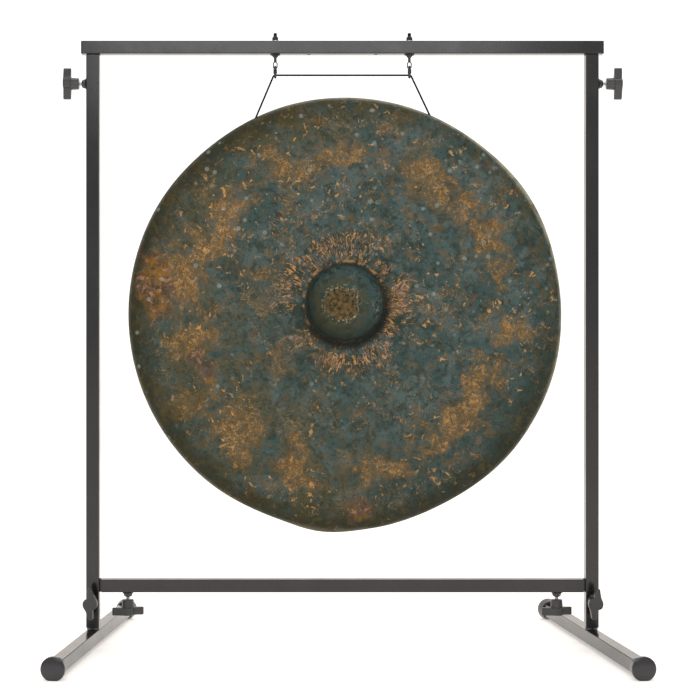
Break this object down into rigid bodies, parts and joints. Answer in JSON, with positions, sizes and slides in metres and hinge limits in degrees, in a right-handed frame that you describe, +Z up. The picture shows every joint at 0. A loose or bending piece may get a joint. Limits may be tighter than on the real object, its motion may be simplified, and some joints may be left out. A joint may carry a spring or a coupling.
{
  "type": "gong stand",
  "caption": "Knock-down gong stand of black square tube with toed-out feet, wing screws and a sleeved crossbar, its bossed bronze gong hung on a cord.",
  "frame": {"origin": "on the floor, midway between the two feet", "axes": "+Z up, +X to the right seen from the front, -Y towards the front, where the boss points"},
  "size_m": [1.208, 0.7216, 1.3264],
  "materials": {
    "black_paint": "glossy black powder coat",
    "zinc": "bright zinc plate",
    "dark_zinc": "dulled zinc plate",
    "black_plastic": "moulded, satin",
    "cap_plastic": "moulded, half gloss",
    "cord": "braided, black",
    "bronze": "beaten, dark blue-green patina with copper-orange clouds"
  },
  "bodies": {
    "frame": {"upright_left": "black_paint", "upright_right": "black_paint", "bar_stub_left": "black_paint", "bar_stub_right": "black_paint", "lower_bar": "black_paint", "bar_weld_left": "black_paint", "bar_weld_right": "black_paint", "upper_left_weld_nut": "black_paint", "upper_right_weld_nut": "black_paint", "foot_left_weld_nut": "black_paint", "foot_right_weld_nut": "black_paint", "bar_left_weld_nut": "black_paint", "bar_right_weld_nut": "black_paint"},
    "top_bar": {"crossbar": "black_paint", "spigot_left": "black_paint", "spigot_weld_left": "black_paint", "crossbar_plug_left": "cap_plastic", "eye_bolt_left": "dark_zinc", "lower_washer_left": "dark_zinc", "top_washer_left": "zinc", "lock_nut_left": "dark_zinc", "spigot_right": "black_paint", "spigot_weld_right": "black_paint", "crossbar_plug_right": "cap_plastic", "eye_bolt_right": "dark_zinc", "lower_washer_right": "dark_zinc", "top_washer_right": "zinc", "lock_nut_right": "dark_zinc"},
    "foot_left": {"foot_tube_left": "black_paint", "foot_stub_left": "black_paint", "foot_collar_left": "black_paint", "foot_cap_left_front": "cap_plastic", "foot_cap_left_back": "cap_plastic"},
    "foot_right": {"foot_tube_right": "black_paint", "foot_stub_right": "black_paint", "foot_collar_right": "black_paint", "foot_cap_right_front": "cap_plastic", "foot_cap_right_back": "cap_plastic"},
    "upper_left_screw_body": {"upper_left_screw": "zinc"},
    "upper_left_knob_body": {"upper_left_knob": "black_plastic"},
    "upper_right_screw_body": {"upper_right_screw": "zinc"},
    "upper_right_knob_body": {"upper_right_knob": "black_plastic"},
    "foot_left_screw_body": {"foot_left_screw": "zinc"},
    "foot_left_knob_body": {"foot_left_knob": "black_plastic"},
    "foot_right_screw_body": {"foot_right_screw": "zinc"},
    "foot_right_knob_body": {"foot_right_knob": "black_plastic"},
    "bar_left_screw_body": {"bar_left_screw": "zinc"},
    "bar_left_knob_body": {"bar_left_knob": "black_plastic"},
    "bar_right_screw_body": {"bar_right_screw": "zinc"},
    "bar_right_knob_body": {"bar_right_knob": "black_plastic"},
    "hung_gong": {"snap_hook_left": "dark_zinc", "snap_hook_right": "dark_zinc", "cord": "cord", "gong": "bronze"},
    "gate_left": {"hook_gate_left": "dark_zinc"},
    "gate_right": {"hook_gate_right": "dark_zinc"}
  },
  "joints": [
    {"name": "crossbar_height", "type": "slide", "parent": "frame", "child": "top_bar", "axis": [0, 0, 1], "range_m": [0, 0.2]},
    {"name": "foot_left_swivel", "type": "hinge", "parent": "frame", "child": "foot_left", "pos_m": [-0.5385, 0, 0.0225], "axis": [0, 0, 1], "range_deg": [-90, 90]},
    {"name": "foot_right_swivel", "type": "hinge", "parent": "frame", "child": "foot_right", "pos_m": [0.5385, 0, 0.0225], "axis": [0, 0, 1], "range_deg": [-90, 90]},
    {"name": "gong_swing", "type": "hinge", "parent": "top_bar", "child": "hung_gong", "pos_m": [0, 0, 1.2466], "axis": [1, 0, 0], "range_deg": [-20, 20]},
    {"name": "gate_left_open", "type": "hinge", "parent": "hung_gong", "child": "gate_left", "pos_m": [-0.145, -0.006, 1.2389], "axis": [-1, 0, 0], "range_deg": [0, 20], "stiffness_Nm_per_rad": 0.05, "springref_deg": -11.46},
    {"name": "gate_right_open", "type": "hinge", "parent": "hung_gong", "child": "gate_right", "pos_m": [0.145, -0.006, 1.2389], "axis": [-1, 0, 0], "range_deg": [0, 20], "stiffness_Nm_per_rad": 0.05, "springref_deg": -11.46},
    {"name": "upper_left_screw_travel", "type": "slide", "parent": "frame", "child": "upper_left_screw_body", "axis": [-1, 0, 0], "range_m": [0, 0.00313]},
    {"name": "upper_left_knob_turn", "type": "hinge", "parent": "upper_left_screw_body", "child": "upper_left_knob_body", "pos_m": [-0.5525, 0, 1.2168], "axis": [-1, 0, 0], "range_deg": [0, 900]},
    {"name": "upper_right_screw_travel", "type": "slide", "parent": "frame", "child": "upper_right_screw_body", "axis": [1, 0, 0], "range_m": [0, 0.00313]},
    {"name": "upper_right_knob_turn", "type": "hinge", "parent": "upper_right_screw_body", "child": "upper_right_knob_body", "pos_m": [0.5525, 0, 1.2168], "axis": [1, 0, 0], "range_deg": [0, 900]},
    {"name": "foot_left_screw_travel", "type": "slide", "parent": "frame", "child": "foot_left_screw_body", "axis": [0, -1, 0], "range_m": [0, 0.00313]},
    {"name": "foot_left_knob_turn", "type": "hinge", "parent": "foot_left_screw_body", "child": "foot_left_knob_body", "pos_m": [-0.5385, -0.014, 0.1006], "axis": [0, -1, 0], "range_deg": [0, 900]},
    {"name": "foot_right_screw_travel", "type": "slide", "parent": "frame", "child": "foot_right_screw_body", "axis": [0, -1, 0], "range_m": [0, 0.00313]},
    {"name": "foot_right_knob_turn", "type": "hinge", "parent": "foot_right_screw_body", "child": "foot_right_knob_body", "pos_m": [0.5385, -0.014, 0.1006], "axis": [0, -1, 0], "range_deg": [0, 900]},
    {"name": "bar_left_screw_travel", "type": "slide", "parent": "frame", "child": "bar_left_screw_body", "axis": [0, 0, -1], "range_m": [0, 0.00313]},
    {"name": "bar_left_knob_turn", "type": "hinge", "parent": "bar_left_screw_body", "child": "bar_left_knob_body", "pos_m": [-0.4635, 0, 0.1189], "axis": [0, 0, -1], "range_deg": [0, 900]},
    {"name": "bar_right_screw_travel", "type": "slide", "parent": "frame", "child": "bar_right_screw_body", "axis": [0, 0, -1], "range_m": [0, 0.00313]},
    {"name": "bar_right_knob_turn", "type": "hinge", "parent": "bar_right_screw_body", "child": "bar_right_knob_body", "pos_m": [0.4635, 0, 0.1189], "axis": [0, 0, -1], "range_deg": [0, 900]}
  ],
  "couplings": [
    {"joint": "upper_left_screw_travel", "follows": "upper_left_knob_turn", "m_per_rad": 0.00019894},
    {"joint": "upper_right_screw_travel", "follows": "upper_right_knob_turn", "m_per_rad": 0.00019894},
    {"joint": "foot_left_screw_travel", "follows": "foot_left_knob_turn", "m_per_rad": 0.00019894},
    {"joint": "foot_right_screw_travel", "follows": "foot_right_knob_turn", "m_per_rad": 0.00019894},
    {"joint": "bar_left_screw_travel", "follows": "bar_left_knob_turn", "m_per_rad": 0.00019894},
    {"joint": "bar_right_screw_travel", "follows": "bar_right_knob_turn", "m_per_rad": 0.00019894}
  ]
}
